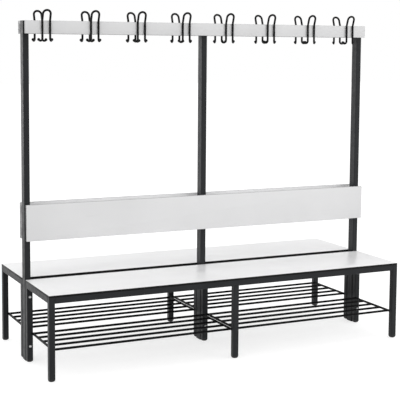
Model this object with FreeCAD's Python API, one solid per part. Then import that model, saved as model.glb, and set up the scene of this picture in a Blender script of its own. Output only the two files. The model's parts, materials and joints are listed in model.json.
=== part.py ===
import FreeCAD, Part
import math
import os

Vector = FreeCAD.Vector
axis_x = Vector(1, 0, 0)
axis_y = Vector(0, 1, 0)
axis_z = Vector(0, 0, 1)
centre = Vector(0, 0, 0)
os.makedirs("parts", exist_ok=True)

# Overall sizes in mm, origin on the floor under the middle of the bench
bench_length = 2000.0
bench_depth = 850.0
seat_height = 420.0
upright_height = 1725.0

# Square tube of the bench frames
frame_tube = 30.0
frame_wall = 2.0
tube_corner = 3.0

# Rectangular tube of the three uprights
post_width = 30.0
post_depth = 50.0
post_wall = 2.0

# Laminate boards
board_thickness = 10.0
board_corner = 3.0
board_edge_round = 1.0
board_skin = 3.0
seat_to_backrest = 200.0
backrest_height = 185.0
hook_board_height = 65.0

# Channel brackets between uprights and boards
bracket_depth = 25.0
bracket_width = 18.0
bracket_height = 40.0
bracket_wall = 3.0
bracket_edge_margin = 15.0

# Shoe racks
rack_height = 148.5
rack_bar = 12.0
rack_bar_count = 5
rack_end_bar_offset = 13.0
rack_side_clearance = 0.3
rack_weld_gap = 0.1

# Coat hooks of bent wire
hook_count = 8
hook_end_margin = 107.5
hook_wire = 11.0
hook_leg_spacing = 40.0
hook_rise = 57.0
hook_drop = 40.0
hook_lean = 19.0
hook_bend_radius = 25.0
hook_bend_below_top = 3.0
hook_curl_side = 14.0
hook_curl_in = 17.0
hook_curl_turn = 150.0
hook_ball = 15.0
hook_seat_clearance = 0.2
hook_stud = 5.0
hook_stud_end = 2.0
hook_nut_across = 8.0
hook_nut_thickness = 4.0

# Feet and end caps
foot_height = 14.0
foot_flat_radius = 6.0
plug_length = 18.0
plug_clearance = 0.4
cap_thickness = 3.0

# Bolts, nuts and spacers that join each stand
stand_bolt = 6.0
stand_bolt_low = 83.0
stand_bolt_drop = 43.0
stand_head_across = 10.0
stand_head_thickness = 4.0
stand_nut_thickness = 5.0
stand_flange = 13.0
stand_flange_thickness = 1.2
stand_bolt_end = 3.0
spacer = 18.0
spacer_thickness = 5.0

# Screws for the seats and the boards
screw = 5.0
screw_head = 9.5
screw_head_thickness = 3.0
seat_screws_per_rail = 4

# Running fit around every bolt, screw and stud
hole_clearance = 0.3

# Positions that follow from the sizes above
half_length = bench_length / 2
half_depth = bench_depth / 2
frame_top = seat_height - board_thickness
frame_under = frame_top - frame_tube
end_x = half_length - frame_tube / 2
post_end_x = half_length - post_width / 2
inner_near = post_depth / 2 + spacer_thickness
inner_far = inner_near + frame_tube
outer_near = half_depth - frame_tube
board_back = post_depth / 2 + bracket_depth
board_front = board_back + board_thickness
backrest_low = seat_height + seat_to_backrest
backrest_top = backrest_low + backrest_height
hook_board_low = upright_height - hook_board_height
hook_board_middle = upright_height - hook_board_height / 2
stand_bolt_high = frame_under - stand_bolt_drop
screw_depth = board_thickness - board_skin


def block(x0, x1, y0, y1, z0, z1):
    return Part.makeBox(x1 - x0, y1 - y0, z1 - z0, Vector(x0, y0, z0))


def rounded(shape, axis, radius):
    edges = []
    for edge in shape.Edges:
        if abs(edge.tangentAt(edge.FirstParameter).dot(axis)) > 0.99:
            edges.append(edge)
    return shape.makeFillet(radius, edges)


def tube(x0, x1, y0, y1, z0, z1, axis, wall):
    wall_x = wall * (1 - axis.x)
    wall_y = wall * (1 - axis.y)
    wall_z = wall * (1 - axis.z)
    outer = rounded(block(x0, x1, y0, y1, z0, z1), axis, tube_corner)
    hollow = block(x0 + wall_x, x1 - wall_x, y0 + wall_y, y1 - wall_y, z0 + wall_z, z1 - wall_z)
    return outer.cut(rounded(hollow, axis, max(tube_corner - wall, 0.5)))


def rod(start, along, length, diameter):
    return Part.makeCylinder(diameter / 2, length, start, along)


def hole(start, along, length, diameter):
    return rod(start, along, length, diameter + 2 * hole_clearance)


def hexagon(start, along, across, length):
    corners = []
    for corner in range(7):
        turn = math.radians(60 * corner + 30)
        reach = across / math.sqrt(3)
        corners.append(Vector(reach * math.cos(turn), reach * math.sin(turn), 0))
    prism = Part.Face(Part.makePolygon(corners)).extrude(axis_z * length)
    prism.Placement = FreeCAD.Placement(start, FreeCAD.Rotation(axis_z, along))
    return prism


def turned(shape, side):
    result = shape.copy()
    if side == "rear":
        result.rotate(centre, axis_z, 180)
    return result


def save(name, shape):
    shape.exportStep("parts/" + name + ".step")


def save_group(name, shapes):
    Part.makeCompound(shapes).exportStep("parts/" + name + ".step")


# Heights and places shared by the pieces below
seat_screw_places = []
for place in range(seat_screws_per_rail):
    seat_screw_places.append(-half_length + bench_length * (place + 0.5) / seat_screws_per_rail)
bracket_heights = [
    backrest_low + bracket_edge_margin + bracket_height / 2,
    backrest_top - bracket_edge_margin - bracket_height / 2,
    hook_board_middle,
]
bolt_heights = [stand_bolt_low, stand_bolt_high]
hook_pitch = (bench_length - 2 * hook_end_margin) / (hook_count - 1)
hook_places = []
for place in range(hook_count):
    hook_places.append(-half_length + hook_end_margin + hook_pitch * place)


# Outer and inner rails run between the corner legs
def rail(y0, y1):
    shape = tube(-half_length + frame_tube, half_length - frame_tube, y0, y1, frame_under, frame_top,
                 axis_x, frame_wall)
    for x in seat_screw_places:
        low = Vector(x, (y0 + y1) / 2, frame_under - 1)
        shape = shape.cut(hole(low, axis_z, frame_tube + 2, screw))
    return shape


# End rails and the middle cross rail run from the inner to the outer tubes
def cross_rail(x):
    return tube(x - frame_tube / 2, x + frame_tube / 2, -outer_near, -inner_far, frame_under, frame_top,
                axis_y, frame_wall)


# Corner legs reach up to the seat, middle legs stop under the rails
def outer_leg(x, top):
    return tube(x - frame_tube / 2, x + frame_tube / 2, -half_depth, -outer_near, foot_height, top,
                axis_z, frame_wall)


def inner_leg(x, top):
    shape = tube(x - frame_tube / 2, x + frame_tube / 2, -inner_far, -inner_near, foot_height, top,
                 axis_z, frame_wall)
    for z in bolt_heights:
        shape = shape.cut(hole(Vector(x, -inner_far - 1, z), axis_y, frame_tube + 2, stand_bolt))
    return shape


# Seat board with blind screw holes in its underside
def seat_board():
    shape = block(-half_length, half_length, -half_depth, -inner_near, frame_top, seat_height)
    shape = rounded(shape, axis_z, board_corner)
    shape = shape.makeFillet(board_edge_round, shape.Faces[top_face(shape)].Edges)
    for x in seat_screw_places:
        for y in [-half_depth + frame_tube / 2, -inner_near - frame_tube / 2]:
            start = Vector(x, y, frame_top - 1)
            shape = shape.cut(hole(start, axis_z, screw_depth + 1 + hole_clearance, screw))
    return shape


def top_face(shape):
    heights = [face.CenterOfMass.z for face in shape.Faces]
    return heights.index(max(heights))


# Upright board with blind screw holes in its back, rounded on its front edges
def upright_board(low, high):
    shape = block(-half_length, half_length, -board_front, -board_back, low, high)
    shape = rounded(shape, axis_y, board_corner)
    fronts = [face.CenterOfMass.y for face in shape.Faces]
    shape = shape.makeFillet(board_edge_round, shape.Faces[fronts.index(min(fronts))].Edges)
    for x in [-post_end_x, 0, post_end_x]:
        for z in bracket_heights:
            if low < z < high:
                start = Vector(x, -board_back + 1, z)
                shape = shape.cut(hole(start, -axis_y, screw_depth + 1 + hole_clearance, screw))
    return shape


# Upright with holes for the stand bolts
def post(x):
    low = cap_thickness
    high = upright_height - cap_thickness
    shape = tube(x - post_width / 2, x + post_width / 2, -post_depth / 2, post_depth / 2, low, high,
                 axis_z, post_wall)
    for z in bolt_heights:
        shape = shape.cut(hole(Vector(x, -post_depth / 2 - 1, z), axis_y, post_depth + 2, stand_bolt))
    return shape


# Channel bracket, open above and below, its web against the back of the board
def bracket(x, z):
    half = bracket_width / 2
    shape = block(x - half, x + half, -board_back, -post_depth / 2, z - bracket_height / 2, z + bracket_height / 2)
    inside = block(x - half + bracket_wall, x + half - bracket_wall, -board_back + bracket_wall, -post_depth / 2 + 1,
                   z - bracket_height / 2 - 1, z + bracket_height / 2 + 1)
    shape = shape.cut(inside)
    return shape.cut(hole(Vector(x, -board_back - 1, z), axis_y, bracket_wall + 2, screw))


# Pan head screw, its head seated at the given point
def pan_screw(seat, along, length):
    head = rod(seat, -along, screw_head_thickness, screw_head)
    rim = [edge for edge in head.Edges if (edge.CenterOfMass - seat).dot(along) < -screw_head_thickness + 0.1]
    head = head.makeFillet(screw_head_thickness * 0.6, rim[:1])
    return head.fuse(rod(seat, along, length, screw))


# Flange bolt and flange nut of the stands
def flange_bolt(x, z):
    seat = Vector(x, -inner_far, z)
    length = 2 * inner_far + stand_flange_thickness + stand_nut_thickness + stand_bolt_end
    shape = rod(seat, -axis_y, stand_flange_thickness, stand_flange)
    head = Vector(x, -inner_far - stand_flange_thickness, z)
    shape = shape.fuse(hexagon(head, -axis_y, stand_head_across, stand_head_thickness))
    return shape.fuse(rod(seat, axis_y, length, stand_bolt))


def flange_nut(x, z):
    seat = Vector(x, inner_far, z)
    shape = rod(seat, axis_y, stand_flange_thickness, stand_flange)
    body = Vector(x, inner_far + stand_flange_thickness, z)
    shape = shape.fuse(hexagon(body, axis_y, stand_head_across, stand_nut_thickness))
    length = stand_flange_thickness + stand_nut_thickness + 2
    return shape.cut(hole(Vector(x, inner_far - 1, z), axis_y, length, stand_bolt))


# Ring on a stand bolt between the upright and an inner leg
def stand_spacer(x, y, z):
    start = Vector(x, y, z)
    shape = rod(start, axis_y, spacer_thickness, spacer)
    return shape.cut(hole(start, axis_y, spacer_thickness, stand_bolt))


# Push-in plug that holds a foot or cap in a tube, centred on the tube axis
def plug(x, y, size_x, size_y, wall, z0, z1):
    half_x = size_x / 2 - wall - plug_clearance
    half_y = size_y / 2 - wall - plug_clearance
    return rounded(block(x - half_x, x + half_x, y - half_y, y + half_y, z0, z1), axis_z, 1.0)


# Rounded foot of a leg
def leg_foot(x, y):
    half = frame_tube / 2
    pad = rounded(block(x - half, x + half, y - half, y + half, 0, foot_height), axis_z, tube_corner)
    reach = (half - tube_corner) * math.sqrt(2) + tube_corner
    spread = reach - foot_flat_radius
    start = Vector(foot_flat_radius, 0, 0)
    middle = Vector(foot_flat_radius + spread * math.sqrt(0.5), 0, foot_height * (1 - math.sqrt(0.5)))
    finish = Vector(reach + 0.2, 0, foot_height)
    top = Vector(0, 0, foot_height)
    outline = [
        Part.LineSegment(centre, start).toShape(),
        Part.Arc(start, middle, finish).toShape(),
        Part.LineSegment(finish, top).toShape(),
        Part.LineSegment(top, centre).toShape(),
    ]
    dome = Part.Face(Part.Wire(outline)).revolve(centre, axis_z, 360)
    dome.translate(Vector(x, y, 0))
    pin = plug(x, y, frame_tube, frame_tube, frame_wall, foot_height, foot_height + plug_length)
    return pad.common(dome).fuse(pin)


# Caps in the lower and upper end of an upright
def post_cap(x, z0, z1, pin_z0, pin_z1):
    half_x = post_width / 2
    half_y = post_depth / 2
    lid = rounded(block(x - half_x, x + half_x, -half_y, half_y, z0, z1), axis_z, tube_corner)
    return lid.fuse(plug(x, 0, post_width, post_depth, post_wall, pin_z0, pin_z1))


# Coat hook: one bent wire with an arch above the board and two curled ends below it
def hook(x):
    leg_y = -board_front - hook_seat_clearance - hook_wire / 2
    half = hook_leg_spacing / 2
    lean = math.radians(hook_lean)
    turn = math.radians(hook_curl_turn)
    curl_reach = math.hypot(hook_curl_side, hook_curl_in)
    curl_radius = curl_reach / (1 - math.cos(turn))
    leg_low = hook_board_low - hook_drop + hook_wire / 2 + curl_radius
    leg_high = upright_height - hook_bend_below_top
    apex = upright_height + hook_rise - hook_wire / 2
    outward = Vector(0, -1, 0)
    slope = outward * math.sin(lean) + axis_z * math.cos(lean)
    bend_mid = (outward * (1 - math.cos(lean / 2)) + axis_z * math.sin(lean / 2)) * hook_bend_radius
    bend_end = (outward * (1 - math.cos(lean)) + axis_z * math.sin(lean)) * hook_bend_radius
    straight = (apex - leg_high - bend_end.z) / math.cos(lean) - half
    sides = []
    for sign in [-1, 1]:
        foot = Vector(x + sign * half, leg_y, leg_low)
        head = Vector(x + sign * half, leg_y, leg_high)
        curl = Vector(sign * hook_curl_side, hook_curl_in, 0) * (1 / curl_reach)
        dip = foot + (curl * (1 - math.cos(turn / 2)) - axis_z * math.sin(turn / 2)) * curl_radius
        tip = foot + (curl * (1 - math.cos(turn)) - axis_z * math.sin(turn)) * curl_radius
        bent = head + bend_end
        shoulder = bent + slope * straight
        run = [
            Part.Arc(tip, dip, foot).toShape(),
            Part.LineSegment(foot, head).toShape(),
            Part.Arc(head, head + bend_mid, bent).toShape(),
            Part.LineSegment(bent, shoulder).toShape(),
        ]
        rise = curl * math.sin(turn) - axis_z * math.cos(turn)
        sides.append([tip, run, shoulder, rise])
    crown = (sides[0][2] + sides[1][2]) * 0.5 + slope * half
    arch = Part.Arc(sides[0][2], crown, sides[1][2]).toShape()
    path = Part.Wire(Part.__sortEdges__(sides[0][1] + [arch] + sides[1][1]))
    section = Part.Wire([Part.makeCircle(hook_wire / 2, sides[0][0], sides[0][3])])
    shape = path.makePipeShell([section], True, False)
    stud_length = hook_wire / 2 + hook_seat_clearance + board_thickness + hook_nut_thickness + hook_stud_end
    for sign in [-1, 1]:
        stud_start = Vector(x + sign * half, leg_y, hook_board_middle)
        shape = shape.fuse(rod(stud_start, axis_y, stud_length, hook_stud))
    for side in sides:
        shape = shape.fuse(Part.makeSphere(hook_ball / 2, side[0]))
    return shape


def hook_nut(x):
    seat = Vector(x, -board_back, hook_board_middle)
    shape = hexagon(seat, axis_y, hook_nut_across, hook_nut_thickness)
    return shape.cut(hole(Vector(x, -board_back - 1, hook_board_middle), axis_y, hook_nut_thickness + 2, hook_stud))


# Hook board with through holes for the hook studs
def drilled_hook_board():
    shape = upright_board(hook_board_low, upright_height)
    for x in hook_places:
        for leg in [-hook_leg_spacing / 2, hook_leg_spacing / 2]:
            start = Vector(x + leg, -board_front - 1, hook_board_middle)
            shape = shape.cut(hole(start, axis_y, board_thickness + 2, hook_stud))
    return shape


# Shoe racks: in each bay, long bars between two end bars that run from leg to leg
def rack_bars(x0, x1):
    first = inner_far + rack_side_clearance + rack_bar / 2
    last = outer_near - rack_side_clearance - rack_bar / 2
    step = (last - first) / (rack_bar_count - 1)
    bars = []
    for place in range(rack_bar_count):
        start = Vector(x0, -first - step * place, rack_height)
        bar = rod(start, axis_x, x1 - x0, rack_bar)
        for x in [x0, x1]:
            saddle = Vector(x, start.y - rack_bar, rack_height)
            bar = bar.cut(rod(saddle, axis_y, 2 * rack_bar, rack_bar + 2 * rack_weld_gap))
        bars.append(bar)
    return bars


def rack_end_bar(x):
    return rod(Vector(x, -outer_near, rack_height), axis_y, outer_near - inner_far, rack_bar)


# Pieces of the two benches, the rear one turned half round
end_bars = []
outer_feet = []
inner_feet = []
brackets = []
board_screws = []
seat_screws = []
hook_nuts = []
for side in ["front", "rear"]:
    flip = -1 if side == "rear" else 1
    save(side + "_outer_rail", turned(rail(-half_depth, -outer_near), side))
    save(side + "_inner_rail", turned(rail(-inner_far, -inner_near), side))
    save(side + "_middle_cross_rail", turned(cross_rail(0), side))
    save(side + "_left_end_rail", turned(cross_rail(-end_x * flip), side))
    save(side + "_right_end_rail", turned(cross_rail(end_x * flip), side))
    save(side + "_left_leg", turned(outer_leg(-end_x * flip, frame_top), side))
    save(side + "_middle_leg", turned(outer_leg(0, frame_under), side))
    save(side + "_right_leg", turned(outer_leg(end_x * flip, frame_top), side))
    save(side + "_left_inner_leg", turned(inner_leg(-end_x * flip, frame_top), side))
    save(side + "_middle_inner_leg", turned(inner_leg(0, frame_under), side))
    save(side + "_right_inner_leg", turned(inner_leg(end_x * flip, frame_top), side))
    save(side + "_seat_board", turned(seat_board(), side))
    save(side + "_backrest_board", turned(upright_board(backrest_low, backrest_top), side))
    save(side + "_hook_board", turned(drilled_hook_board(), side))
    bars = []
    for bay in [-1, 1]:
        near = bay * rack_end_bar_offset
        far = bay * (end_x - rack_end_bar_offset)
        bars += rack_bars(min(near, far), max(near, far))
        end_bars.append(turned(rack_end_bar(near), side))
        end_bars.append(turned(rack_end_bar(far), side))
    save_group(side + "_rack_bars", [turned(bar, side) for bar in bars])
    for number in range(hook_count):
        save(side + "_hook_" + str(number + 1), turned(hook(hook_places[number] * flip), side))
    for x in [-end_x, 0, end_x]:
        outer_feet.append(turned(leg_foot(x, -half_depth + frame_tube / 2), side))
        inner_feet.append(turned(leg_foot(x, -inner_near - frame_tube / 2), side))
    for x in [-post_end_x, 0, post_end_x]:
        for z in bracket_heights:
            brackets.append(turned(bracket(x, z), side))
            seat = Vector(x, -board_back + bracket_wall, z)
            board_screws.append(turned(pan_screw(seat, -axis_y, bracket_wall + screw_depth), side))
    for x in seat_screw_places:
        for y in [-half_depth + frame_tube / 2, -inner_near - frame_tube / 2]:
            seat = Vector(x, y, frame_under)
            seat_screws.append(turned(pan_screw(seat, axis_z, frame_tube + screw_depth), side))
    for x in hook_places:
        hook_nuts.append(turned(hook_nut(x - hook_leg_spacing / 2), side))
        hook_nuts.append(turned(hook_nut(x + hook_leg_spacing / 2), side))

# Uprights with their caps, bolts, nuts and spacers
caps = []
bolts = []
nuts = []
spacers = []
save("left_post", post(-post_end_x))
save("middle_post", post(0))
save("right_post", post(post_end_x))
for x in [-post_end_x, 0, post_end_x]:
    low = cap_thickness
    high = upright_height - cap_thickness
    caps.append(post_cap(x, 0, low, low, low + plug_length))
    caps.append(post_cap(x, high, upright_height, high - plug_length, high))
    for z in bolt_heights:
        bolts.append(flange_bolt(x, z))
        nuts.append(flange_nut(x, z))
        spacers.append(stand_spacer(x, -inner_near, z))
        spacers.append(stand_spacer(x, post_depth / 2, z))

# Groups of like pieces
save_group("rack_end_bars", end_bars)
save_group("outer_leg_feet", outer_feet)
save_group("inner_leg_feet", inner_feet)
save_group("post_caps", caps)
save_group("board_brackets", brackets)
save_group("board_screws", board_screws)
save_group("seat_screws", seat_screws)
save_group("hook_nuts", hook_nuts)
save_group("stand_bolts", bolts)
save_group("stand_nuts", nuts)
save_group("stand_spacers", spacers)
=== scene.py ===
import bmesh
import bpy
import json
import math
from mathutils import Matrix, Vector


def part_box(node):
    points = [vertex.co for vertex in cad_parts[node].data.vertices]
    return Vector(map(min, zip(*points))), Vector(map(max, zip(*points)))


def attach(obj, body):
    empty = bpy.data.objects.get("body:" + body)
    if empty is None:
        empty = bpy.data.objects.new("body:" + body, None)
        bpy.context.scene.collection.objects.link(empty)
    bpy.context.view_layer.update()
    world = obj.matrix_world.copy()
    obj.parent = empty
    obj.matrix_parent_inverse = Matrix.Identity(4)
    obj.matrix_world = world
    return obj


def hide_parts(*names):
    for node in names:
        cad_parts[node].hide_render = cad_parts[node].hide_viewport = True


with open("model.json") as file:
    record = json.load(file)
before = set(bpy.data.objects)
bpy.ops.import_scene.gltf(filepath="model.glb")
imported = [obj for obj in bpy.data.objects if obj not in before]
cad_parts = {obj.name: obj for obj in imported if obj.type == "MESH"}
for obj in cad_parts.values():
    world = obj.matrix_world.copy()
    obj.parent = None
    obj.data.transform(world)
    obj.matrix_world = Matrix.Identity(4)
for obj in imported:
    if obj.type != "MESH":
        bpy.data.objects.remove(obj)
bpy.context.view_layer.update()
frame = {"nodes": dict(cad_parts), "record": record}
cadNodes = frame["nodes"]
scene = bpy.context.scene
scene.view_settings.view_transform = "Standard"
print("frame loaded:", len(cadNodes), "nodes")

# camera: the photograph's view from the left front, a little below the hook boards
viewPoint = {
    "place": (-2.52492, -5.26759, 1.5926),   # metres
    "turn": -25.512,       # degrees round the vertical
    "tilt": -5.368,        # degrees, down is negative
    "roll": 0.402,
    "lens": 97.298,        # millimetres, as the sensor
    "sensor": 36.0,
    "shiftDown": 0.125,    # share of the picture's width
    "farClip": 200.0,
}
cameraData = bpy.data.cameras.new("photoCamera")
cameraData.sensor_width = viewPoint["sensor"]
cameraData.lens = viewPoint["lens"]
cameraData.shift_y = -viewPoint["shiftDown"]
cameraData.clip_end = viewPoint["farClip"]
camera = bpy.data.objects.new("photoCamera", cameraData)
scene.collection.objects.link(camera)
camera.matrix_world = (
    Matrix.Translation(viewPoint["place"])
    @ Matrix.Rotation(math.radians(viewPoint["turn"]), 4, "Z")
    @ Matrix.Rotation(math.radians(90.0 + viewPoint["tilt"]), 4, "X")
    @ Matrix.Rotation(math.radians(viewPoint["roll"]), 4, "Z")
)
scene.camera = camera
print("camera placed")

# node helpers for the finishes
noiseSpread = (0.3, 0.7)     # most values of a noise texture lie between these
fullRange = (0.0, 1.0)


class Finish:
    def __init__(self, name):
        self.material = bpy.data.materials.new(name)
        self.material.use_nodes = True
        self.tree = self.material.node_tree
        self.shader = self.tree.nodes["Principled BSDF"]
        self.coords = self.add("ShaderNodeTexCoord").outputs["Object"]

    def add(self, kind):
        return self.tree.nodes.new(kind)

    def link(self, a, b):
        self.tree.links.new(a, b)

    def stretched(self, scale):
        node = self.add("ShaderNodeMapping")
        node.inputs["Scale"].default_value = scale
        self.link(self.coords, node.inputs["Vector"])
        return node.outputs["Vector"]

    def noise(self, scale, detail=2.0, rough=0.5, vector=None):
        node = self.add("ShaderNodeTexNoise")
        node.inputs["Scale"].default_value = scale
        node.inputs["Detail"].default_value = detail
        node.inputs["Roughness"].default_value = rough
        self.link(vector or self.coords, node.inputs["Vector"])
        return node.outputs["Fac"]

    def remap(self, value, fromRange, toRange=fullRange):
        node = self.add("ShaderNodeMapRange")
        node.inputs["From Min"].default_value, node.inputs["From Max"].default_value = fromRange
        node.inputs["To Min"].default_value, node.inputs["To Max"].default_value = toRange
        self.link(value, node.inputs["Value"])
        return node.outputs["Result"]

    def maths(self, kind, a, b):
        node = self.add("ShaderNodeMath")
        node.operation = kind
        for socket, value in zip(node.inputs, (a, b)):
            if isinstance(value, (int, float)):
                socket.default_value = value
            else:
                self.link(value, socket)
        return node.outputs["Value"]

    def blend(self, factor, a, b):
        node = self.add("ShaderNodeMix")
        node.data_type = "RGBA"
        self.link(factor, node.inputs["Factor"])
        for socket, value in ((node.inputs["A"], a), (node.inputs["B"], b)):
            if isinstance(value, tuple):
                socket.default_value = (*value, 1.0)
            else:
                self.link(value, socket)
        return node.outputs["Result"]

    def height(self):
        node = self.add("ShaderNodeSeparateXYZ")
        self.link(self.coords, node.inputs["Vector"])
        return node.outputs["Z"]

    def bump(self, value, strength, distance, after=None):
        node = self.add("ShaderNodeBump")
        node.inputs["Strength"].default_value = strength
        node.inputs["Distance"].default_value = distance
        self.link(value, node.inputs["Height"])
        if after:
            self.link(after, node.inputs["Normal"])
        return node.outputs["Normal"]

    def level(self, name, value):
        self.shader.inputs[name].default_value = value

    def done(self, colour, roughness, normal):
        self.link(colour, self.shader.inputs["Base Color"])
        self.link(roughness, self.shader.inputs["Roughness"])
        self.link(normal, self.shader.inputs["Normal"])
        return self.material


# powder coat on the tubes and brackets; the rack bars get a darker copy of it, painted shade under the seats
frameCoat = {
    "dark": (0.0195, 0.0207, 0.0226), "light": (0.025, 0.0265, 0.0288), "cloudScale": 5.0,
    "scuff": (0.06, 0.062, 0.065), "scuffHeight": 0.14, "scuffScale": 55.0,
    "scuffRange": (0.56, 0.72), "scuffMost": 0.55,
    "markStretch": (30.0, 30.0, 190.0), "markRange": (0.66, 0.78), "markMost": 0.22,
    "roughScale": 38.0, "rough": (0.36, 0.5), "specular": 0.14,
    "peelScale": 620.0, "peelStrength": 0.35, "peelDepth": 0.00012,
}
# the same coat made darker for the rack bars: painted shade from the seats above them
rackCoatPaintedShade = {
    **frameCoat,
    "dark": (0.004, 0.0041, 0.0046), "light": (0.006, 0.0062, 0.0068), "specular": 0.06,
}


def makeCoat(name, v):
    f = Finish(name)
    clouds = f.noise(v["cloudScale"], detail=3.0)
    colour = f.blend(f.remap(clouds, noiseSpread), v["dark"], v["light"])
    low = f.remap(f.height(), (0.0, v["scuffHeight"]), (1.0, 0.0))     # shoes rub the legs' lower ends
    rubs = f.noise(v["scuffScale"], detail=4.0, rough=0.65)
    rubs = f.remap(rubs, v["scuffRange"], (0.0, v["scuffMost"]))
    colour = f.blend(f.maths("MULTIPLY", low, rubs), colour, v["scuff"])
    marks = f.noise(1.0, detail=3.0, rough=0.6, vector=f.stretched(v["markStretch"]))
    marks = f.remap(marks, v["markRange"], (0.0, v["markMost"]))
    colour = f.blend(marks, colour, v["scuff"])
    roughness = f.remap(f.noise(v["roughScale"], detail=3.0), noiseSpread, v["rough"])
    peel = f.noise(v["peelScale"], detail=1.5)
    f.level("Specular IOR Level", v["specular"])
    return f.done(colour, roughness, f.bump(peel, v["peelStrength"], v["peelDepth"]))


# smooth black coat on the wire hooks, rubbed grey where coats hang
hookCoat = {
    "dark": (0.0055, 0.0055, 0.006), "light": (0.0095, 0.0095, 0.0105), "cloudScale": 24.0,
    "rubbed": (0.05, 0.05, 0.05), "rubHeight": 1.762, "rubFade": 0.02, "rubScale": 260.0,
    "rubRange": (0.55, 0.68), "rubMost": 0.5,
    "roughScale": 90.0, "rough": (0.26, 0.4), "specular": 0.08,
    "grainScale": 900.0, "grainStrength": 0.25, "grainDepth": 0.00008,
}


def makeHookCoat():
    v = hookCoat
    f = Finish("hookCoat")
    colour = f.blend(f.remap(f.noise(v["cloudScale"]), noiseSpread), v["dark"], v["light"])
    high = f.remap(f.height(), (v["rubHeight"], v["rubHeight"] + v["rubFade"]))
    specks = f.noise(v["rubScale"], detail=3.0, rough=0.6)
    specks = f.remap(specks, v["rubRange"], (0.0, v["rubMost"]))
    colour = f.blend(f.maths("MULTIPLY", high, specks), colour, v["rubbed"])
    roughness = f.remap(f.noise(v["roughScale"], detail=3.0), noiseSpread, v["rough"])
    grain = f.noise(v["grainScale"], detail=1.0)
    f.level("Specular IOR Level", v["specular"])
    return f.done(colour, roughness, f.bump(grain, v["grainStrength"], v["grainDepth"]))


# laminate: light grey faces with a fine pearl grain
laminateFace = {
    "dark": (0.775, 0.775, 0.78), "light": (0.83, 0.83, 0.835), "cloudScale": 2.6,
    "speck": (0.72, 0.72, 0.725), "speckScale": 430.0, "speckRange": (0.6, 0.75), "speckMost": 0.35,
    "smudge": (0.66, 0.655, 0.645), "smudgeStretch": (7.0, 60.0, 60.0),
    "smudgeRange": (0.64, 0.8), "smudgeMost": 0.22,
    "scratchStretch": (14.0, 900.0, 900.0), "scratchRange": (0.68, 0.74), "scratchRough": 0.08,
    "scratchStrength": -0.12, "scratchDepth": 0.00006,
    "roughScale": 9.0, "rough": (0.28, 0.38), "specular": 0.4,
    "pearlScale": 850.0, "pearlStrength": 0.3, "pearlDepth": 0.00009,
}


def makeLaminateFace():
    v = laminateFace
    f = Finish("laminateFace")
    clouds = f.noise(v["cloudScale"], detail=3.0)
    colour = f.blend(f.remap(clouds, noiseSpread), v["dark"], v["light"])
    specks = f.remap(f.noise(v["speckScale"]), v["speckRange"], (0.0, v["speckMost"]))
    colour = f.blend(specks, colour, v["speck"])
    wear = f.noise(1.0, detail=4.0, rough=0.65, vector=f.stretched(v["smudgeStretch"]))
    wear = f.remap(wear, v["smudgeRange"], (0.0, v["smudgeMost"]))
    colour = f.blend(wear, colour, v["smudge"])
    scratches = f.noise(1.0, vector=f.stretched(v["scratchStretch"]))
    scratches = f.remap(scratches, v["scratchRange"])
    roughness = f.remap(f.noise(v["roughScale"], detail=3.0), noiseSpread, v["rough"])
    roughness = f.maths("ADD", roughness, f.maths("MULTIPLY", scratches, v["scratchRough"]))
    pearl = f.bump(f.noise(v["pearlScale"]), v["pearlStrength"], v["pearlDepth"])
    f.level("Specular IOR Level", v["specular"])
    return f.done(colour, roughness, f.bump(scratches, v["scratchStrength"], v["scratchDepth"], pearl))


# black pressed core that shows at the edges of the seats
laminateCore = {
    "dark": (0.005, 0.005, 0.0052), "light": (0.013, 0.0126, 0.0122),
    "plyStretch": (12.0, 900.0, 900.0), "plyRange": (0.35, 0.7), "plyStrength": 0.25, "plyDepth": 0.00012,
    "roughScale": 120.0, "rough": (0.38, 0.56), "specular": 0.1,
}


def makeLaminateCore():
    v = laminateCore
    f = Finish("laminateCore")
    plies = f.noise(1.0, detail=3.0, rough=0.6, vector=f.stretched(v["plyStretch"]))
    colour = f.blend(f.remap(plies, v["plyRange"]), v["dark"], v["light"])
    roughness = f.remap(f.noise(v["roughScale"], detail=3.0), noiseSpread, v["rough"])
    f.level("Specular IOR Level", v["specular"])
    return f.done(colour, roughness, f.bump(plies, v["plyStrength"], v["plyDepth"]))


# edge band of the upright boards, darker than their faces
edgeBand = {
    "dark": (0.31, 0.31, 0.315), "light": (0.39, 0.39, 0.395),
    "streakStretch": (9.0, 420.0, 420.0), "streakRange": (0.35, 0.7),
    "roughScale": 160.0, "rough": (0.34, 0.48), "specular": 0.3,
    "grainScale": 700.0, "grainStrength": 0.2, "grainDepth": 0.00008,
}


def makeEdgeBand():
    v = edgeBand
    f = Finish("edgeBand")
    streaks = f.noise(1.0, detail=3.0, rough=0.6, vector=f.stretched(v["streakStretch"]))
    colour = f.blend(f.remap(streaks, v["streakRange"]), v["dark"], v["light"])
    roughness = f.remap(f.noise(v["roughScale"]), noiseSpread, v["rough"])
    grain = f.noise(v["grainScale"], detail=1.5)
    f.level("Specular IOR Level", v["specular"])
    return f.done(colour, roughness, f.bump(grain, v["grainStrength"], v["grainDepth"]))


# moulded plastic of the feet, caps and spacers, dusty near the floor
blackPlastic = {
    "dark": (0.008, 0.008, 0.008), "light": (0.015, 0.015, 0.0155), "cloudScale": 60.0,
    "dust": (0.075, 0.072, 0.068), "dustHeight": 0.012, "dustScale": 320.0,
    "dustRange": (0.45, 0.7), "dustMost": 0.6,
    "roughScale": 200.0, "rough": (0.45, 0.62), "specular": 0.35,
    "grainScale": 1500.0, "grainStrength": 0.35, "grainDepth": 0.0001,
}


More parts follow.
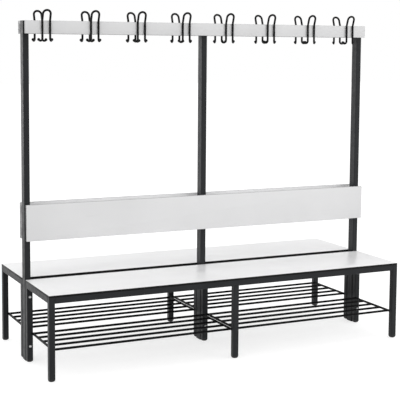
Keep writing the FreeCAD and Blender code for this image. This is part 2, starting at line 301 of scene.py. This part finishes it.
def makeBlackPlastic():
    v = blackPlastic
    f = Finish("blackPlastic")
    colour = f.blend(f.remap(f.noise(v["cloudScale"]), noiseSpread), v["dark"], v["light"])
    low = f.remap(f.height(), (0.0, v["dustHeight"]), (1.0, 0.0))
    dust = f.noise(v["dustScale"], detail=4.0, rough=0.6)
    dust = f.remap(dust, v["dustRange"], (0.0, v["dustMost"]))
    colour = f.blend(f.maths("MULTIPLY", low, dust), colour, v["dust"])
    roughness = f.remap(f.noise(v["roughScale"]), noiseSpread, v["rough"])
    grain = f.noise(v["grainScale"], detail=1.0)
    f.level("Specular IOR Level", v["specular"])
    return f.done(colour, roughness, f.bump(grain, v["grainStrength"], v["grainDepth"]))


# dull zinc plate on bolts, nuts and screws
zincPlate = {
    "dark": (0.46, 0.465, 0.48), "light": (0.62, 0.62, 0.615), "cloudScale": 180.0, "metal": 1.0,
    "roughScale": 420.0, "rough": (0.24, 0.4),
    "grainScale": 1400.0, "grainStrength": 0.2, "grainDepth": 0.00005,
}


def makeZincPlate():
    v = zincPlate
    f = Finish("zincPlate")
    clouds = f.noise(v["cloudScale"], detail=3.0, rough=0.6)
    colour = f.blend(f.remap(clouds, noiseSpread), v["dark"], v["light"])
    roughness = f.remap(f.noise(v["roughScale"]), noiseSpread, v["rough"])
    grain = f.noise(v["grainScale"], detail=1.0)
    f.level("Metallic", v["metal"])
    return f.done(colour, roughness, f.bump(grain, v["grainStrength"], v["grainDepth"]))


coat = makeCoat("frameCoat", frameCoat)
barCoatPaintedShade = makeCoat("rackCoatPaintedShade", rackCoatPaintedShade)
hookBlack = makeHookCoat()
face = makeLaminateFace()
core = makeLaminateCore()
band = makeEdgeBand()
plastic = makeBlackPlastic()
zinc = makeZincPlate()
print("finishes made")

# every carried-over node gets its finish by the record's slot, the rack bars the darker copy with painted
# shade
rackNodes = ("front_rack_bars", "rear_rack_bars", "rack_end_bars")
slotFinish = {"frame_coat": coat, "hook_coat": hookBlack, "laminate": face, "black_plastic": plastic,
              "zinc": zinc}
for part in frame["record"]["subparts"]:
    node = cadNodes[part["node"]]
    for place in node.material_slots:
        place.material = barCoatPaintedShade if part["node"] in rackNodes else slotFinish[part["material_slot"]]

# mesh helpers
alongLimit = 0.99      # cosine above which a direction counts as lying along an axis
sharpAngle = 32.0      # degrees, edges above it stay crisp


def boxOf(node):
    low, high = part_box(node)
    return Vector(low), Vector(high)


def block(bm, low, high):
    made = bmesh.ops.create_cube(bm, size=1.0)["verts"]
    bmesh.ops.scale(bm, vec=high - low, verts=made)
    bmesh.ops.translate(bm, vec=(low + high) / 2, verts=made)
    return made


def edgesAlong(verts, axis):
    found = set()
    for vert in verts:
        for edge in vert.link_edges:
            along = edge.verts[1].co - edge.verts[0].co
            if abs(along.normalized()[axis]) > alongLimit:
                found.add(edge)
    return list(found)


def roundEdges(bm, edges, size, steps):
    return bmesh.ops.bevel(bm, geom=edges, offset=size, offset_type="OFFSET", affect="EDGES",
                           segments=steps, profile=0.5, material=-1, clamp_overlap=True)


def finishPiece(bm, name, materials, replaced):
    bmesh.ops.recalc_face_normals(bm, faces=bm.faces)
    mesh = bpy.data.meshes.new(name)
    bm.to_mesh(mesh)
    bm.free()
    for material in materials:
        mesh.materials.append(material)
    mesh.shade_smooth()
    mesh.set_sharp_from_angle(angle=math.radians(sharpAngle))
    piece = bpy.data.objects.new(name, mesh)
    scene.collection.objects.link(piece)
    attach(piece, "root")
    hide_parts(*replaced)


# boards: seats lie flat, backrests and hook boards stand
boardShape = {"cornerRound": 0.003, "cornerSteps": 4, "edgeRound": 0.0008, "edgeSteps": 3}


def makeBoard(node, thinAxis, edge):
    low, high = boxOf(node)
    bm = bmesh.new()
    verts = block(bm, low, high)
    roundEdges(bm, edgesAlong(verts, thinAxis), boardShape["cornerRound"], boardShape["cornerSteps"])
    bm.normal_update()
    rims = set()
    for f in bm.faces:
        if abs(f.normal[thinAxis]) > alongLimit:
            rims.update(f.edges)
    roundEdges(bm, list(rims), boardShape["edgeRound"], boardShape["edgeSteps"])
    bm.normal_update()
    for f in bm.faces:
        f.material_index = 0 if abs(f.normal[thinAxis]) > alongLimit else 1
    finishPiece(bm, node + "_dressed", [face, edge], [node])


for side in ("front", "rear"):
    makeBoard(side + "_seat_board", 2, core)
    makeBoard(side + "_backrest_board", 1, band)
    makeBoard(side + "_hook_board", 1, band)
print("boards made")

# coat hooks: one ring of points swept round the bends of the wire
hookShape = {
    "count": 8, "wire": 0.011, "legSpacing": 0.040, "boardFront": 0.060, "seatGap": 0.0002,
    "top": 1.782, "low": 1.620, "bendStart": 1.722, "lean": 19.0, "bendRadius": 0.025,
    "curlSide": 0.014, "curlIn": 0.017, "curlTurn": 150.0, "ball": 0.015,
    "stud": 0.005, "studHeight": 1.6925, "studReach": 0.0217,
    "ringPoints": 20, "curlSteps": 14, "bendSteps": 5, "archSteps": 18, "ballSteps": (20, 12),
    "studSteps": 16,
}


def sweepOn(bm, ring, centre, axis, angle, steps):
    turned = bmesh.ops.spin(bm, geom=ring, cent=centre, axis=axis, dvec=(0, 0, 0), angle=angle, steps=steps,
                            use_merge=False, use_normal_flip=False, use_duplicate=False)
    return [g for g in turned["geom_last"] if isinstance(g, bmesh.types.BMEdge)]


def runOn(bm, ring, move):
    grown = bmesh.ops.extrude_edge_only(bm, edges=ring)["geom"]
    verts = [g for g in grown if isinstance(g, bmesh.types.BMVert)]
    bmesh.ops.translate(bm, vec=move, verts=verts)
    return [g for g in grown if isinstance(g, bmesh.types.BMEdge) and all(v in verts for v in g.verts)]


def makeHook(node, outSign):
    low, high = boxOf(node)
    s = hookShape
    middle = (low.x + high.x) / 2
    half = s["legSpacing"] / 2
    legY = outSign * (s["boardFront"] + s["seatGap"] + s["wire"] / 2)
    lean = math.radians(s["lean"])
    curlTurn = math.radians(s["curlTurn"])
    curlRadius = math.hypot(s["curlSide"], s["curlIn"]) / (1 - math.cos(curlTurn))
    legLow = s["low"] + s["wire"] / 2 + curlRadius
    legRun = s["bendStart"] - legLow
    apex = s["top"] - s["wire"] / 2
    out = Vector((0, outSign, 0))
    up = Vector((0, 0, 1))
    slope = out * math.sin(lean) + up * math.cos(lean)
    straight = (apex - s["bendStart"] - s["bendRadius"] * math.sin(lean)) / math.cos(lean) - half
    bm = bmesh.new()

    def curlOn(ring, sign):
        foot = Vector((middle + sign * half, legY, legLow))
        curl = Vector((sign * s["curlSide"], -outSign * s["curlIn"], 0)).normalized()
        end = sweepOn(bm, ring, foot + curl * curlRadius, curl.cross(up), curlTurn, s["curlSteps"])
        bmesh.ops.edgeloop_fill(bm, edges=end)
        return foot + (curl * (1 - math.cos(curlTurn)) - up * math.sin(curlTurn)) * curlRadius

    # from the left foot: its curl, then leg, bend, slope and arch, and the same way down to the right foot
    start = bmesh.ops.create_circle(bm, cap_ends=False, segments=s["ringPoints"], radius=s["wire"] / 2,
                                    matrix=Matrix.Translation((middle - half, legY, legLow)))["verts"]
    ring = list({e for v in start for e in v.link_edges})
    tips = [curlOn(ring, -1)]
    ring = runOn(bm, ring, up * legRun)
    bendAxis = up.cross(out)
    head = Vector((middle - half, legY, s["bendStart"]))
    ring = sweepOn(bm, ring, head + out * s["bendRadius"], bendAxis, lean, s["bendSteps"])
    ring = runOn(bm, ring, slope * straight)
    crown = Vector((middle, legY, s["bendStart"])) + out * s["bendRadius"] * (1 - math.cos(lean)) \
        + up * s["bendRadius"] * math.sin(lean) + slope * straight
    ring = sweepOn(bm, ring, crown, slope.cross(Vector((1, 0, 0))), math.pi, s["archSteps"])
    ring = runOn(bm, ring, -slope * straight)
    head.x = middle + half
    ring = sweepOn(bm, ring, head + out * s["bendRadius"], bendAxis, -lean, s["bendSteps"])
    ring = runOn(bm, ring, -up * legRun)
    tips.append(curlOn(ring, 1))
    around, rows = s["ballSteps"]
    for tip in tips:
        bmesh.ops.create_uvsphere(bm, u_segments=around, v_segments=rows, radius=s["ball"] / 2,
                                  matrix=Matrix.Translation(tip))
    lying = Matrix.Rotation(math.pi / 2, 4, "X")
    for sign in (-1, 1):
        studY = legY - outSign * s["studReach"] / 2
        stud = Matrix.Translation((middle + sign * half, studY, s["studHeight"])) @ lying
        bmesh.ops.create_cone(bm, cap_ends=True, segments=s["studSteps"], radius1=s["stud"] / 2,
                              radius2=s["stud"] / 2, depth=s["studReach"], matrix=stud)
    finishPiece(bm, node + "_dressed", [hookBlack], [node])


for number in range(1, hookShape["count"] + 1):
    makeHook("front_hook_" + str(number), -1)
    makeHook("rear_hook_" + str(number), 1)
print("hooks made")

# small hardware: one of each is made upright at the origin, then copied to its places
turnSteps = 24          # points round every turned piece
hexCuts = 3             # gives a hexagon as many points as a turned rim
mergeDistance = 1e-6
sameHeight = 1e-7
pairingGap = 0.002      # holds two loops apart while they are paired


def alongMatrix(place, along):
    return Matrix.Translation(place) @ Vector(along).to_track_quat("Z", "Y").to_matrix().to_4x4()


def vertsOf(geom):
    return [g for g in geom if isinstance(g, bmesh.types.BMVert)]


def copyTo(bm, places):
    first = bm.verts[:] + bm.edges[:] + bm.faces[:]
    for matrix in places[1:]:
        made = bmesh.ops.duplicate(bm, geom=first)["geom"]
        bmesh.ops.transform(bm, matrix=matrix, verts=vertsOf(made))
    bmesh.ops.transform(bm, matrix=places[0], verts=vertsOf(first))


def turnRound(bm, profile, closed=False):
    verts = [bm.verts.new((radius, 0.0, height)) for radius, height in profile]
    edges = [bm.edges.new(pair) for pair in zip(verts, verts[1:])]
    if closed:
        edges.append(bm.edges.new((verts[-1], verts[0])))
    bmesh.ops.spin(bm, geom=verts + edges, cent=(0, 0, 0), axis=(0, 0, 1), dvec=(0, 0, 0), angle=2 * math.pi,
                   steps=turnSteps, use_merge=True, use_normal_flip=False, use_duplicate=False)
    bmesh.ops.remove_doubles(bm, verts=bm.verts, dist=mergeDistance)


def openRim(bm, height):
    return [e for e in bm.edges if len(e.link_faces) < 2
            and all(abs(v.co.z - height) < sameHeight for v in e.verts)]


def looseLoop(bm, points, radius, height, cuts=0):
    verts = bmesh.ops.create_circle(bm, cap_ends=False, segments=points, radius=radius,
                                    matrix=Matrix.Translation((0, 0, height)))["verts"]
    edges = list({e for v in verts for e in v.link_edges})
    if cuts:
        bmesh.ops.subdivide_edges(bm, edges=edges, cuts=cuts)
    return [e for e in bm.edges if not e.link_faces]


def hexLoop(bm, across, height):
    return looseLoop(bm, 6, across / math.sqrt(3), height, hexCuts)


def join(bm, first, second):
    verts = list({v for e in second for v in e.verts})
    bmesh.ops.translate(bm, vec=(0, 0, pairingGap), verts=verts)
    bmesh.ops.bridge_loops(bm, edges=first + second)
    bmesh.ops.translate(bm, vec=(0, 0, -pairingGap), verts=verts)


def narrowOn(bm, ring, rise, factor):
    ring = runOn(bm, ring, (0, 0, rise))
    bmesh.ops.scale(bm, vec=(factor, factor, 1.0), verts=list({v for e in ring for v in e.verts}))
    return ring


# stand bolts and nuts: flanged hexagons with chamfered tops, thread showing beyond the nut
standHardware = {
    "places": (-0.985, 0.0, 0.985), "heights": (0.083, 0.337), "seat": 0.060,
    "head": 0.010, "headHeight": 0.004, "nutHeight": 0.005, "chamfer": 0.0006, "chamferScale": 0.92,
    "flange": 0.013, "flangeHeight": 0.0012, "flangeRound": 0.0002, "flangeRim": (0.0003, 0.0007),
    "flangeTop": 0.6,          # share of the hexagon
    "dish": 0.0003, "dishInset": 0.12,
    "bolt": 0.006, "beyond": 0.003, "pitch": 0.001, "threadStart": 0.0004,
    "tip": 0.7, "root": 0.86,  # shares of the shank's radius
    "crest": 0.45,             # share of the pitch
    "boreGap": 0.0002, "mouth": 0.0005,
}


def standPlaces(sign):
    s = standHardware
    return [alongMatrix((x, sign * s["seat"], z), (0, sign, 0)) for x in s["places"] for z in s["heights"]]


def flangeProfile(inner):
    s = standHardware
    edge = s["flange"] / 2
    rimLow, rimHigh = s["flangeRim"]
    return [(inner, 0.0), (edge - s["flangeRound"], 0.0), (edge, rimLow), (edge, rimHigh),
            (s["head"] * s["flangeTop"], s["flangeHeight"])]


def hexOnFlange(bm, tall):
    s = standHardware
    rim = openRim(bm, s["flangeHeight"])
    ring = hexLoop(bm, s["head"], s["flangeHeight"])
    join(bm, rim, ring)
    ring = runOn(bm, ring, (0, 0, tall - s["chamfer"]))
    return narrowOn(bm, ring, s["chamfer"], s["chamferScale"])


def makeStandBolts():
    s = standHardware
    bm = bmesh.new()
    shank = s["bolt"] / 2
    length = 2 * s["seat"] + s["flangeHeight"] + s["nutHeight"] + s["beyond"]
    profile = [(0.0, -length), (shank * s["tip"], -length)]
    for turn in range(int((length - 2 * s["seat"]) / s["pitch"])):
        base = -length + s["threadStart"] + turn * s["pitch"]
        profile += [(shank * s["root"], base), (shank, base + s["pitch"] * s["crest"])]
    turnRound(bm, profile + flangeProfile(shank))
    lid = bmesh.ops.edgeloop_fill(bm, edges=hexOnFlange(bm, s["headHeight"]))["faces"]
    bmesh.ops.recalc_face_normals(bm, faces=bm.faces)
    bmesh.ops.inset_region(bm, faces=lid, thickness=s["head"] * s["dishInset"], depth=-s["dish"],
                           use_even_offset=True)
    copyTo(bm, standPlaces(-1))
    finishPiece(bm, "stand_bolts_dressed", [zinc], ["stand_bolts"])


def makeStandNuts():
    s = standHardware
    bm = bmesh.new()
    bore = s["bolt"] / 2 + s["boreGap"]
    wide = bore + s["mouth"]
    turnRound(bm, flangeProfile(bore))
    ring = hexOnFlange(bm, s["nutHeight"])
    mouth = looseLoop(bm, turnSteps, wide, s["flangeHeight"] + s["nutHeight"])
    join(bm, ring, mouth)
    mouth = narrowOn(bm, mouth, -s["mouth"], bore / wide)
    join(bm, mouth, openRim(bm, 0.0))
    copyTo(bm, standPlaces(1))
    finishPiece(bm, "stand_nuts_dressed", [zinc], ["stand_nuts"])


makeStandBolts()
makeStandNuts()
print("stand hardware made")

# plastic rings between the uprights and the inner legs
spacerShape = {"ring": 0.018, "bore": 0.0066, "near": 0.025, "far": 0.030, "edge": 0.0005, "edgeMiddle": 0.3}


def makeSpacers():
    s = spacerShape
    bm = bmesh.new()
    thick = s["far"] - s["near"]
    ring, bore, edge = s["ring"] / 2, s["bore"] / 2, s["edge"]
    soft = edge * s["edgeMiddle"]
    turnRound(bm, [(bore, 0.0), (ring - edge, 0.0), (ring - soft, soft), (ring, edge), (ring, thick - edge),
                   (ring - soft, thick - soft), (ring - edge, thick), (bore, thick)], closed=True)
    copyTo(bm, [alongMatrix((x, sign * s["near"], z), (0, sign, 0)) for x in standHardware["places"]
                for z in standHardware["heights"] for sign in (-1, 1)])
    finishPiece(bm, "stand_spacers_dressed", [plastic], ["stand_spacers"])


makeSpacers()
print("spacers made")

# flat caps in the ends of the uprights: a lid with rounded rim and the plug behind it
capShape = {
    "places": (-0.985, 0.0, 0.985), "half": (0.015, 0.025), "top": 1.725,
    "lid": 0.003, "lidRound": 0.003, "lidSteps": 4, "rim": 0.0007, "rimSteps": 3,
    "plugGap": 0.0024, "plugLength": 0.018, "plugRound": 0.001, "plugSteps": 2,
}


def addCap(bm, x, outer, way):
    s = capShape
    inner = outer + way * s["lid"]
    end = inner + way * s["plugLength"]
    hx, hy = s["half"]
    lid = block(bm, Vector((x - hx, -hy, min(outer, inner))), Vector((x + hx, hy, max(outer, inner))))
    rounded = roundEdges(bm, edgesAlong(lid, 2), s["lidRound"], s["lidSteps"])
    rims = set()
    for f in {f for v in rounded["verts"] for f in v.link_faces}:
        if all(abs(v.co.z - outer) < sameHeight for v in f.verts):
            rims.update(f.edges)
    roundEdges(bm, list(rims), s["rim"], s["rimSteps"])
    hx, hy = hx - s["plugGap"], hy - s["plugGap"]
    plug = block(bm, Vector((x - hx, -hy, min(inner, end))), Vector((x + hx, hy, max(inner, end))))
    roundEdges(bm, edgesAlong(plug, 2), s["plugRound"], s["plugSteps"])


def makePostCaps():
    bm = bmesh.new()
    for x in capShape["places"]:
        addCap(bm, x, 0.0, 1)
        addCap(bm, x, capShape["top"], -1)
    finishPiece(bm, "post_caps_dressed", [plastic], ["post_caps"])


makePostCaps()
print("caps made")

# pan head screws with a hexagon socket, for the seats from below and the boards from behind
screwShape = {
    "shank": 0.005, "tip": 0.4, "tipLength": 0.002, "head": 0.0095, "headHeight": 0.003,
    "dome": ((0.0, 0.4), (0.05, 0.63), (0.18, 0.82), (0.37, 0.95), (0.6, 1.0)),   # in and up, per head height
    "socket": 0.003, "socketDepth": 0.0018,
    "seatX": (-0.75, -0.25, 0.25, 0.75), "seatRows": (0.045, 0.410), "seatUnder": 0.380, "seatLength": 0.037,
    "boardX": (-0.985, 0.0, 0.985), "boardHeights": (0.655, 0.770, 1.6925), "boardSeat": 0.047,
    "boardLength": 0.010,
}


def makeScrews(name, length, places):
    s = screwShape
    bm = bmesh.new()
    shank, rim, top = s["shank"] / 2, s["head"] / 2, s["headHeight"]
    profile = [(0.0, -length), (shank * s["tip"], -length), (shank, -length + s["tipLength"]), (shank, 0.0),
               (rim, 0.0)]
    turnRound(bm, profile + [(rim - top * inward, top * up) for inward, up in s["dome"]])
    crown = openRim(bm, top)
    socket = hexLoop(bm, s["socket"], top)
    join(bm, crown, socket)
    bmesh.ops.edgeloop_fill(bm, edges=runOn(bm, socket, (0, 0, -s["socketDepth"])))
    copyTo(bm, places)
    finishPiece(bm, name + "_dressed", [zinc], [name])


makeScrews("seat_screws", screwShape["seatLength"],
           [alongMatrix((x, sign * row, screwShape["seatUnder"]), (0, 0, -1)) for x in screwShape["seatX"]
            for row in screwShape["seatRows"] for sign in (-1, 1)])
makeScrews("board_screws", screwShape["boardLength"],
           [alongMatrix((x, sign * screwShape["boardSeat"], z), (0, -sign, 0)) for x in screwShape["boardX"]
            for z in screwShape["boardHeights"] for sign in (-1, 1)])
print("screws made")

# small nuts on the hook studs behind the hook boards
hookNutShape = {
    "across": 0.008, "height": 0.004, "bore": 0.0053, "edge": 0.0004, "edgeSteps": 2,
    "rimFrom": 0.49,      # share of the width, outside it lie the outer edges
    "boardBack": 0.050, "firstHook": -0.8925, "pitch": 0.255,
}


def makeHookNuts():
    s = hookNutShape
    bm = bmesh.new()
    outer = hexLoop(bm, s["across"], 0.0)
    inner = [e for e in looseLoop(bm, turnSteps, s["bore"] / 2, 0.0) if e not in outer]
    join(bm, outer, inner)
    grown = bmesh.ops.extrude_face_region(bm, geom=bm.faces[:], use_keep_orig=True)["geom"]
    bmesh.ops.translate(bm, vec=(0, 0, s["height"]), verts=vertsOf(grown))
    rims = [e for e in bm.edges if all(v.co.xy.length > s["across"] * s["rimFrom"] for v in e.verts)
            and abs(e.verts[0].co.z - e.verts[1].co.z) < sameHeight]
    roundEdges(bm, rims, s["edge"], s["edgeSteps"])
    places = []
    for number in range(hookShape["count"]):
        for leg in (-1, 1):
            x = s["firstHook"] + s["pitch"] * number + leg * hookShape["legSpacing"] / 2
            for sign in (-1, 1):
                places.append(alongMatrix((x, sign * s["boardBack"], hookShape["studHeight"]), (0, -sign, 0)))
    copyTo(bm, places)
    finishPiece(bm, "hook_nuts_dressed", [zinc], ["hook_nuts"])


makeHookNuts()
print("hook nuts made")

# channel brackets bent from sheet, open above and below
bracketShape = {"half": 0.009, "wall": 0.003, "near": 0.025, "far": 0.050, "tall": 0.040, "outerBend": 0.004,
                "bendSteps": 5, "edge": 0.0004, "edgeSteps": 2}


def makeBrackets():
    s = bracketShape
    bm = bmesh.new()
    outline = ((-s["half"], s["near"]), (-s["half"], s["far"]), (s["half"], s["far"]), (s["half"], s["near"]))
    corners = [bm.verts.new((x, y, -s["tall"] / 2)) for x, y in outline]
    runOn(bm, [bm.edges.new(pair) for pair in zip(corners, corners[1:])], (0, 0, s["tall"]))
    roundEdges(bm, [e for e in bm.edges if len(e.link_faces) == 2], s["outerBend"], s["bendSteps"])
    bmesh.ops.recalc_face_normals(bm, faces=bm.faces)
    bmesh.ops.solidify(bm, geom=bm.faces[:], thickness=s["wall"])
    bm.normal_update()
    ends = {f for f in bm.faces if abs(f.normal.z) > alongLimit}
    rims = {e for f in ends for e in f.edges if not ends.issuperset(e.link_faces)}
    roundEdges(bm, list(rims), s["edge"], s["edgeSteps"])
    copyTo(bm, [Matrix.Translation((x, 0, z)) @ Matrix.Rotation(turn, 4, "Z") for x in screwShape["boardX"]
                for z in screwShape["boardHeights"] for turn in (0.0, math.pi)])
    finishPiece(bm, "board_brackets_dressed", [coat], ["board_brackets"])


makeBrackets()
print("brackets made")

# floor and light: the camera sees floor and background white, the floor keeps the shadow
studio = {
    "floorColour": (0.3, 0.3, 0.3),        # for the light that bounces
    "floorSeen": (0.45, 0.45, 0.45), "floorLift": 0.7, "floorRoughness": 0.95, "floorSpecular": 0.0,
    "floorSize": 80.0, "worldColour": (1.0, 1.0, 1.0), "worldLevel": 1.08, "backgroundLevel": 1.0,
}
lamps = {
    "keyLight": {"place": (-4.6, 8.0, 2.2), "aim": (0.0, 0.0, 0.8), "size": 4.5, "power": 105.0},    # watts
    "fillLight": {"place": (4.9, -5.8, 1.7), "aim": (0.0, 0.0, 0.9), "size": 4.0, "power": 70.0},
    "topLight": {"place": (0.0, -1.2, 6.0), "aim": (0.0, 0.0, 0.6), "size": 5.0, "power": 20.0},
}


def seenRays(tree, level):
    path = tree.nodes.new("ShaderNodeLightPath")
    total = path.outputs["Is Camera Ray"]
    for kind in ("Is Glossy Ray", "Is Transmission Ray"):
        most = tree.nodes.new("ShaderNodeMath")
        most.operation = "MAXIMUM"
        tree.links.new(total, most.inputs[0])
        tree.links.new(path.outputs[kind], most.inputs[1])
        total = most.outputs["Value"]
    scaled = tree.nodes.new("ShaderNodeMath")
    scaled.operation = "MULTIPLY"
    scaled.inputs[1].default_value = level
    tree.links.new(total, scaled.inputs[0])
    return scaled.outputs["Value"]


bm = bmesh.new()
bmesh.ops.create_grid(bm, x_segments=1, y_segments=1, size=studio["floorSize"] / 2)
floorMesh = bpy.data.meshes.new("floor")
bm.to_mesh(floorMesh)
bm.free()
floor = bpy.data.objects.new("floor", floorMesh)
scene.collection.objects.link(floor)
floorFinish = bpy.data.materials.new("floorFinish")
floorFinish.use_nodes = True
floorTree = floorFinish.node_tree
floorShader = floorTree.nodes["Principled BSDF"]
floorBlend = floorTree.nodes.new("ShaderNodeMix")          # softens the shadow that the camera sees
floorBlend.data_type = "RGBA"
floorTree.links.new(seenRays(floorTree, 1.0), floorBlend.inputs["Factor"])
floorBlend.inputs["A"].default_value = (*studio["floorColour"], 1.0)
floorBlend.inputs["B"].default_value = (*studio["floorSeen"], 1.0)
floorTree.links.new(floorBlend.outputs["Result"], floorShader.inputs["Base Color"])
floorShader.inputs["Roughness"].default_value = studio["floorRoughness"]
floorShader.inputs["Specular IOR Level"].default_value = studio["floorSpecular"]
floorGlow = floorTree.nodes.new("ShaderNodeEmission")      # lifts the seen floor to white, shadow kept
floorMix = floorTree.nodes.new("ShaderNodeAddShader")
floorTree.links.new(seenRays(floorTree, studio["floorLift"]), floorGlow.inputs["Strength"])
floorTree.links.new(floorShader.outputs["BSDF"], floorMix.inputs[0])
floorTree.links.new(floorGlow.outputs["Emission"], floorMix.inputs[1])
floorTree.links.new(floorMix.outputs["Shader"], floorTree.nodes["Material Output"].inputs["Surface"])
floorMesh.materials.append(floorFinish)

world = bpy.data.worlds.new("studioWorld")
scene.world = world
world.use_nodes = True
tree = world.node_tree
light = tree.nodes["Background"]
light.inputs["Color"].default_value = (*studio["worldColour"], 1.0)
light.inputs["Strength"].default_value = studio["worldLevel"]
seen = tree.nodes.new("ShaderNodeBackground")
seen.inputs["Color"].default_value = (*studio["worldColour"], 1.0)
seen.inputs["Strength"].default_value = studio["backgroundLevel"]
choose = tree.nodes.new("ShaderNodeMixShader")
tree.links.new(seenRays(tree, 1.0), choose.inputs["Fac"])
tree.links.new(light.outputs["Background"], choose.inputs[1])
tree.links.new(seen.outputs["Background"], choose.inputs[2])
tree.links.new(choose.outputs["Shader"], tree.nodes["World Output"].inputs["Surface"])

for name, values in lamps.items():
    lampData = bpy.data.lights.new(name, "AREA")
    lampData.shape = "SQUARE"
    lampData.size = values["size"]
    lampData.energy = values["power"]
    lamp = bpy.data.objects.new(name, lampData)
    scene.collection.objects.link(lamp)
    lamp.location = values["place"]
    direction = Vector(values["aim"]) - Vector(values["place"])
    lamp.rotation_euler = direction.to_track_quat("-Z", "Y").to_euler()
print("studio made")
